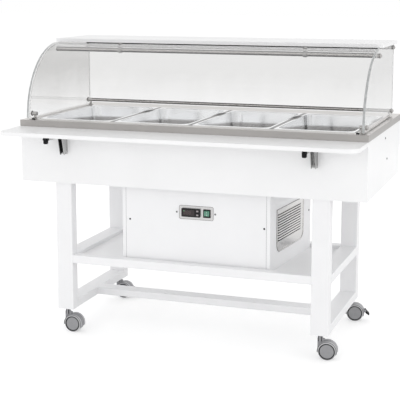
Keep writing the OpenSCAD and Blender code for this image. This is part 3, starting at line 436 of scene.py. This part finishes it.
NODE_LOOKS = {
    "board": "front_panel rear_panel left_panel right_panel bottom_panel top_board tray_board "
             "shelf_board",
    "steel_white": "left_front_leg left_rear_leg right_front_leg right_rear_leg foot_rails "
                   "stretcher shelf_rails housing_shell housing_cover",
    "plate": "control_plate",
    "rim": "rim_frame well_liner pan_bars",
    "tube": "canopy_tubes",
    "bolt": "pane_clips pane_posts canopy_bolts",
    "screw": "screws",
    "clear_flat": "left_pane right_pane",
    "clear_curved": "curved_pane",
    "black": "fan_cowl",
    "bracket": "tray_wall_brackets tray_arms",
    "louvre": "side_grille",
    "knob": "left_release_knob right_release_knob left_brake_pedal right_brake_pedal",
    "bezel": "thermostat switch_frame",
    "key": "upper_key lower_key",
    "rocker": "switch_rocker",
    "can": "compressor",
    "foam": "well_insulation",
    "copper": "evaporator_coil",
    "coil": "condenser",
    "zinc": "caster_stems",
    "fan": "fan_rotor",
}


def dress(name, look):
    """Gives a CAD node its material."""
    materials = NODES[name].data.materials
    materials.clear()
    materials.append(look.mat)


for look, names in NODE_LOOKS.items():
    for name in names.split():
        dress(name, LOOKS[look])
for i in (1, 2, 3, 4):
    dress(f"pan_{i}", pan_steel(f"pressed_steel_pan_{i}", f"pan_{i}"))

JOINTS = {j["name"]: j for j in frame["record"]["behaviour"]["joints"]}
for corner in ("left_front", "left_rear", "right_front", "right_rear"):
    axle = JOINTS[f"{corner}_wheel_roll"]
    dress(f"{corner}_wheels", wheel(f"{corner}_wheel", axle["pos_m"], axle["axis"]))
    dress(f"{corner}_fork", fork_plastic(f"{corner}_hood", axle["pos_m"], axle["axis"]))


def soften(names, width):
    """Rounds the visible edges of CAD nodes a little, so that they catch the light."""
    for name in names.split():
        edge = NODES[name].modifiers.new("soft_edges", "BEVEL")
        edge.width = width
        edge.segments = 2
        edge.limit_method = "ANGLE"
        edge.angle_limit = math.radians(35.0)
        edge.harden_normals = False


soften("front_panel rear_panel left_panel right_panel top_board tray_board shelf_board",
       1.2 * MM)
soften("rim_frame stretcher shelf_rails foot_rails housing_cover", 0.5 * MM)


# ---------------------------------------------------------------- building pieces

BASE = "cabinet_and_stand"


def new_object(name, bm, look):
    mesh = bpy.data.meshes.new(name)
    bm.to_mesh(mesh)
    bm.free()
    mesh.materials.append(look.mat)
    obj = bpy.data.objects.new(name, mesh)
    bpy.context.scene.collection.objects.link(obj)
    return obj


def mesh_object(name, bm, look, body=BASE):
    """Finishes a piece, which rides on its body and has the look's material."""
    bmesh.ops.recalc_face_normals(bm, faces=bm.faces)
    obj = new_object(name, bm, LOOKS[look])
    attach(obj, body)


def band_faces(bm, rows):
    """Joins rings of vertices, each to the next."""
    for near, far in rows:
        for i in range(len(near)):
            j = (i + 1) % len(near)
            bm.faces.new((near[i], near[j], far[j], far[i]))


def place_points(bm, points, z, matrix):
    return [bm.verts.new(matrix @ Vector((x, y, z))) for x, y in points]


def plate_from(points, thick, matrix, bm=None):
    """Extrudes an outline of (x, y) points from z = 0 to thick, and places it."""
    bm = bm or bmesh.new()
    low = place_points(bm, points, 0.0, matrix)
    high = place_points(bm, points, thick, matrix)
    bm.faces.new(low[::-1])
    bm.faces.new(high)
    band_faces(bm, [(low, high)])
    return bm


def outline_ring(outer, inner, thick, matrix, bm=None):
    """A flat ring between two outlines with as many points each, from z = 0 to thick."""
    bm = bm or bmesh.new()
    rows = [place_points(bm, points, z, matrix) for points, z in
            ((outer, 0.0), (outer, thick), (inner, thick), (inner, 0.0))]
    band_faces(bm, zip(rows, rows[1:] + rows[:1]))
    return bm


def rectangle(half_w, half_h):
    return [(-half_w, -half_h), (half_w, -half_h), (half_w, half_h), (-half_w, half_h)]


def rounded(w, h, r, steps=5):
    """Outline of a rectangle w by h with corners of radius r, about the origin."""
    points = []
    for k, (sx, sy) in enumerate(((1, 1), (-1, 1), (-1, -1), (1, -1))):
        for i in range(steps + 1):
            a = math.radians(90 * k + 90 * i / steps)
            points.append((sx * (w / 2 - r) + r * math.cos(a),
                           sy * (h / 2 - r) + r * math.sin(a)))
    return points


def front_at(x, y, z):
    """Matrix with +X right, +Y up and +Z towards the guests' side, at a point."""
    turn = Matrix(((1, 0, 0), (0, 0, -1), (0, 1, 0))).to_4x4()
    return Matrix.Translation((x, y, z)) @ turn


def middle(values):
    return (min(values) + max(values)) / 2


def face_centre(name):
    """A node's middle across and up, and its box."""
    lo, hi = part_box(name)
    return (lo.x + hi.x) / 2, (lo.z + hi.z) / 2, lo, hi


# ---------------------------------------------------------------- control panel details

HAIR = 0.02 * MM          # lifts a flat piece off the face under it
WINDOW_W, WINDOW_H, WINDOW_R = 49.4 * MM, 23.4 * MM, 1.8 * MM
WINDOW_THICK = 0.6 * MM
WINDOW_LEFT = 9 * MM      # of the bezel's middle
WINDOW_DEEP = 0.9 * MM    # from the bezel's face to the window's back
PRINT_THICK = 0.2 * MM
bezel_x, bezel_z, bezel_low, _ = face_centre("thermostat")
window_x = bezel_x - WINDOW_LEFT
window_y = bezel_low.y + WINDOW_DEEP
print_y = window_y - WINDOW_THICK
glass = plate_from(rounded(WINDOW_W, WINDOW_H, WINDOW_R), WINDOW_THICK,
                   front_at(window_x, window_y, bezel_z))
mesh_object("thermostat_window", glass, "display")

# Segments of a digit: side, row, and whether it lies flat
SEGMENTS = ((0, 1, True), (0, 0, True), (0, -1, True),
            (-1, 0.5, False), (1, 0.5, False), (-1, -0.5, False), (1, -0.5, False))
DIGIT_HALF_W, DIGIT_HALF_H, BAR_THICK = 3.2 * MM, 6.4 * MM, 1.1 * MM
BAR_SHORT = 0.65          # taken off each end, in bar thicknesses
LEAN = 0.12
DIGIT_PITCH = 10.8 * MM


def digit(bm, x, z):
    """One unlit digit: all seven segments, as thin six-sided bars that lean to the right."""
    tip = BAR_THICK / 2
    for side, row, flat in SEGMENTS:
        half = (DIGIT_HALF_W if flat else DIGIT_HALF_H / 2) - BAR_THICK * BAR_SHORT
        x_mid = x + (0 if flat else side * DIGIT_HALF_W) + row * DIGIT_HALF_H * LEAN
        points = [(-half, 0), (tip - half, -tip), (half - tip, -tip), (half, 0),
                  (half - tip, tip), (tip - half, tip)]
        if not flat:
            points = [(-v, u) for u, v in points]
        plate_from(points, PRINT_THICK, front_at(x_mid, print_y, z + row * DIGIT_HALF_H), bm)


digits = bmesh.new()
for step in (-1.45, -0.45, 0.55):
    digit(digits, window_x + step * DIGIT_PITCH, bezel_z)
mesh_object("thermostat_digits", digits, "digit")

LAMP_W, LAMP_R = 2.2 * MM, 1 * MM
LAMP_LEFT, LAMP_UP = 19 * MM, 6 * MM
lamp = plate_from(rounded(LAMP_W, LAMP_W, LAMP_R, 4), PRINT_THICK,
                  front_at(window_x - LAMP_LEFT, print_y, bezel_z + LAMP_UP))
mesh_object("thermostat_lamp", lamp, "lamp")

ARROW_HALF, ARROW_FOOT, ARROW_TIP = 1.6 * MM, 1.1 * MM, 1.5 * MM
ARROW_THICK = 0.15 * MM
for name, up in (("upper_key", 1), ("lower_key", -1)):
    x, z, lo, _ = face_centre(name)
    arrow = plate_from([(-ARROW_HALF, -ARROW_FOOT * up), (ARROW_HALF, -ARROW_FOOT * up),
                        (0, ARROW_TIP * up)], ARROW_THICK, front_at(x, lo.y - HAIR, z))
    mesh_object(name + "_mark", arrow, "mark", name + "_cap")

# Rocker marks: a bar above and a ring below, tilted with the hollowed face
MARK_OFF = 5.2 * MM
MARK_TILT = math.radians(5.8)
MARK_THICK = 0.45 * MM
MARK_DEEP = 0.7 * MM      # behind the rocker's foremost point
BAR_HALF_W, BAR_HALF_H = 0.7 * MM, 2.6 * MM
RING_OUT, RING_IN = 2.8 * MM, 1.8 * MM


def on_rocker(sign):
    x, z, lo, _ = face_centre("switch_rocker")
    return (front_at(x, lo.y + MARK_DEEP, z + sign * MARK_OFF)
            @ Matrix.Rotation(sign * MARK_TILT, 4, "X"))


def circle(radius):
    return [(radius * math.cos(math.radians(a)), radius * math.sin(math.radians(a)))
            for a in range(0, 360, 15)]


mark = plate_from(rectangle(BAR_HALF_W, BAR_HALF_H), MARK_THICK, on_rocker(1))
outline_ring(circle(RING_OUT), circle(RING_IN), MARK_THICK, on_rocker(-1), mark)
mesh_object("rocker_marks", mark, "mark_green", "rocker")

# Trim round the control plate, dark as painted shade along the plate's edge, and seam strips of
# painted shadow between cover and corner strips
TRIM = 1.6 * MM
TRIM_OUT_R, TRIM_IN_R = 6.6 * MM, 5 * MM
FIT = 0.1 * MM
plate_x, plate_z, lo, hi = face_centre("control_plate")
plate_w, plate_h = hi.x - lo.x, hi.z - lo.z
trim = outline_ring(rounded(plate_w + 2 * TRIM, plate_h + 2 * TRIM, TRIM_OUT_R),
                    rounded(plate_w + FIT, plate_h + FIT, TRIM_IN_R), TRIM,
                    front_at(plate_x, hi.y - HAIR, plate_z))
mesh_object("control_plate_trim", trim, "plate_edge")

SEAM = 0.9 * MM
SEAM_THICK = 0.3 * MM
lo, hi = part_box("housing_cover")
height = hi.z - lo.z
for name, x in (("left_cover_seam", lo.x), ("right_cover_seam", hi.x)):
    seam = plate_from([(-SEAM / 2, 0.0), (SEAM / 2, 0.0), (SEAM / 2, height),
                       (-SEAM / 2, height)], SEAM_THICK, front_at(x, lo.y - HAIR / 2, lo.z))
    mesh_object(name, seam, "seam")


# ---------------------------------------------------------------- grille, screws, pane, pans

def on_wall(along, up, out):
    """Matrix with +X rearward along the right wall, +Y up and +Z outward, at a place on it."""
    turn = Matrix((WALL_ALONG, Vector((0, 0, 1)), WALL_OUT)).transposed().to_4x4()
    place = WALL_FOOT + WALL_ALONG * along + Vector((0, 0, up)) + WALL_OUT * out
    return Matrix.Translation(place) @ turn


GRILLE_START, GRILLE_LOW = 70 * MM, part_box("side_grille")[0].z
GRILLE_L, GRILLE_H = 306 * MM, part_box("side_grille")[1].z - GRILLE_LOW
GRILLE_R = 34 * MM
CORNER_STEPS = 8

# Filter mat behind the louvres, black so that it also stands in for the shade inside the slots
FILTER_HALF_L, FILTER_HALF_H, FILTER_THICK = 140 * MM, 64 * MM, 2.5 * MM
FILTER_UNDER_TOP = 77 * MM
FILTER_DEEP = 11.5 * MM
slot_shade_filter = plate_from(rectangle(FILTER_HALF_L, FILTER_HALF_H), FILTER_THICK,
                        on_wall(GRILLE_START + GRILLE_L / 2,
                                GRILLE_LOW + GRILLE_H - FILTER_UNDER_TOP, -FILTER_DEEP))
mesh_object("grille_filter", slot_shade_filter, "filter")


def grille_edge(grow):
    """Outline of the grille plate drawn out by grow: square above, rounded below."""
    r = GRILLE_R + grow
    left, right, foot, top = -grow, GRILLE_L + grow, -grow, GRILLE_H + grow
    points = [(right, top), (left, top)]
    for centre, start in ((left + r, 180), (right - r, 270)):
        for i in range(CORNER_STEPS + 1):
            a = math.radians(start + 90 * i / CORNER_STEPS)
            points.append((centre + r * math.cos(a), foot + r + r * math.sin(a)))
    return points


# Edge ring round the grille plate, dark steel as painted shade along the plate's edge
GRILLE_EDGE_THICK = 1.8 * MM
edge = outline_ring(grille_edge(TRIM), grille_edge(FIT), GRILLE_EDGE_THICK,
                    on_wall(GRILLE_START, GRILLE_LOW, HAIR))
mesh_object("grille_edge", edge, "plate_edge")

# Cross recesses in the screw heads, painted as black crosses for the shade in them: one small
# cross on the crown of each dome
HEAD_REACH = 12 * MM
END_PANEL_X = 0.6
SPLAYED_WALL_X = 0.31
CROSS_REACH, CROSS_THIN = 0.52, 0.13    # of the head's radius
CROSS_THICK, CROSS_SUNK = 0.4 * MM, 0.3 * MM


def screw_clusters(mesh):
    """The vertices of each screw; the screws lie far apart."""
    clusters = []
    for v in mesh.vertices:
        for points in clusters:
            if (points[0] - v.co).length < HEAD_REACH:
                points.append(v.co.copy())
                break
        else:
            clusters.append([v.co.copy()])
    return clusters


def facing(place):
    """Outward axis of a screw, from the face that it sits on."""
    if abs(place.x) > END_PANEL_X:
        return Vector((math.copysign(1, place.x), 0, 0))
    return WALL_OUT if place.x > SPLAYED_WALL_X else Vector((0, -1, 0))


cross = bmesh.new()
for points in screw_clusters(NODES["screws"].data):
    axis = facing(points[0])
    side = axis.cross(Vector((0, 0, 1))).normalized() * -1
    rise = axis.cross(side)
    u, v = [p.dot(side) for p in points], [p.dot(rise) for p in points]
    crown = side * middle(u) + rise * middle(v) + axis * max(p.dot(axis) for p in points)
    turn = Matrix((side, rise, axis)).transposed().to_4x4()
    radius = (max(u) - min(u)) / 2
    reach, thin = radius * CROSS_REACH, radius * CROSS_THIN
    for w, h in ((reach, thin), (thin, reach)):
        plate_from(rectangle(w, h), CROSS_THICK,
                   Matrix.Translation(crown - axis * CROSS_SUNK) @ turn, cross)
mesh_object("screw_recess_shade", cross, "knob")

# Pads under the lower corners of the curved pane
PAD_X = 0.664
PAD_W, PAD_D, PAD_R = 12 * MM, 9 * MM, 2 * MM
PAD_GAP = 0.2 * MM
pane_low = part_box("curved_pane")[0]
rim_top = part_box("rim_frame")[1].z
for side, sign in (("left", -1), ("right", 1)):
    pad = plate_from(rounded(PAD_W, PAD_D, PAD_R), pane_low.z - rim_top - 2 * PAD_GAP,
                     Matrix.Translation((sign * PAD_X, pane_low.y + PAD_D / 2,
                                         rim_top + PAD_GAP)))
    mesh_object(f"{side}_pane_pad", pad, "knob", "canopy_front")

# Black strips in the gaps between the pans, with a chamfered top: painted shade of the gaps
CHAMFER = 0.3 * MM
STRIP_PROUD = 0.3 * MM
STRIP_INSET = 4 * MM
STRIP_GAP = 0.2 * MM
STRIP_TOP = 0.8           # of the strip's width
strip_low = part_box("pan_bars")[1].z
for i in (1, 2, 3):
    (left_lo, left_hi), right_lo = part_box(f"pan_{i}"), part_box(f"pan_{i + 1}")[0]
    tall = left_hi.z + STRIP_PROUD - strip_low
    front_y, rear_y = left_lo.y + STRIP_INSET, left_hi.y - STRIP_INSET
    half = (right_lo.x - left_hi.x) / 2 - STRIP_GAP
    points = [(-half, 0.0), (half, 0.0), (half, tall - CHAMFER), (half * STRIP_TOP, tall),
              (-half * STRIP_TOP, tall), (-half, tall - CHAMFER)]
    strip = plate_from(points, rear_y - front_y,
                       front_at((left_hi.x + right_lo.x) / 2, rear_y, strip_low + HAIR))
    mesh_object(f"pan_gap_shade_strip_{i}", strip, "knob")


# ---------------------------------------------------------------- floor, light, camera

FLOOR_HALF = 40.0


def lit_stage():
    """A pale floor that shows white to the camera but keeps the object's shadow."""
    bm = bmesh.new()
    bm.faces.new(place_points(bm, rectangle(FLOOR_HALF, FLOOR_HALF), 0.0, Matrix()))
    t = Tree("floor_white")
    path = t.node("LightPath").outputs
    seen = t.maths("MAXIMUM", path["Is Camera Ray"], path["Is Transmission Ray"])
    t.set(Base_Color=t.ramp(t.noise(0.8), [(0.3, 0.78), (0.7, 0.80)]), Roughness=0.9,
          Specular_IOR_Level=0.0, Emission_Strength=t.spread(seen, 0.07, 0.34),
          Emission_Color=(1, 1, 1, 1))
    new_object("floor", bm, t)


# Place, target, size and power of each soft box
SOFT_BOXES = {
    "front_box": ((-1.6, -5.2, 1.5), (0, -0.2, 0.7), (4.5, 2.6), 57),
    "right_box": ((5.0, -1.4, 1.5), (0.3, 0, 0.7), (4.0, 2.6), 48),
    "rear_box": ((0.8, 5.2, 1.5), (0, 0.2, 0.7), (4.5, 2.6), 48),
    "left_box": ((-5.0, 1.0, 1.5), (-0.3, 0, 0.7), (4.0, 2.6), 48),
}


def soft_box(name, place, target, size, power):
    """An area lamp that metal and glass don't show."""
    data = bpy.data.lights.new(name, "AREA")
    data.shape = "RECTANGLE"
    data.size, data.size_y = size
    data.energy = power
    obj = bpy.data.objects.new(name, data)
    obj.location = place
    obj.rotation_euler = (Vector(target) - Vector(place)).to_track_quat("-Z", "Y").to_euler()
    obj.visible_glossy = False
    obj.visible_transmission = False
    bpy.context.scene.collection.objects.link(obj)


def studio_world():
    """A plain white studio: white to the camera, metal and glass, a touch less as light."""
    world = bpy.data.worlds.new("studio")
    bpy.context.scene.world = world
    world.use_nodes = True
    nodes, link = world.node_tree.nodes, world.node_tree.links.new
    lit = nodes["Background"]
    lit.inputs["Strength"].default_value = 0.88
    seen = nodes.new("ShaderNodeBackground")
    for background in (lit, seen):
        background.inputs["Color"].default_value = (1, 1, 1, 1)
    path = nodes.new("ShaderNodeLightPath").outputs
    factor = path["Is Camera Ray"]
    for ray in ("Is Transmission Ray", "Is Glossy Ray"):
        either = nodes.new("ShaderNodeMath")
        either.operation = "MAXIMUM"
        link(factor, either.inputs[0])
        link(path[ray], either.inputs[1])
        factor = either.outputs[0]
    final = nodes.new("ShaderNodeMixShader")
    for socket, source in zip(final.inputs, (factor, lit.outputs[0], seen.outputs[0])):
        link(source, socket)
    link(final.outputs[0], nodes["World Output"].inputs["Surface"])


CAMERA_PLACE = (1.4546, -4.2239, 1.4305)
CAMERA_DOWN = 8.749
CAMERA_TURN = 19.36


def studio_camera():
    """The photograph's viewing angle."""
    data = bpy.data.cameras.new("camera")
    data.sensor_width = 36.0
    data.lens = 99.917
    data.shift_y = -0.12
    data.clip_end = 60.0
    camera = bpy.data.objects.new("camera", data)
    camera.location = CAMERA_PLACE
    camera.rotation_euler = (math.radians(90 - CAMERA_DOWN), 0.0, math.radians(CAMERA_TURN))
    bpy.context.scene.collection.objects.link(camera)
    bpy.context.scene.camera = camera


lit_stage()
for name, settings in SOFT_BOXES.items():
    soft_box(name, *settings)
studio_world()
studio_camera()
bpy.context.scene.view_settings.view_transform = "Standard"
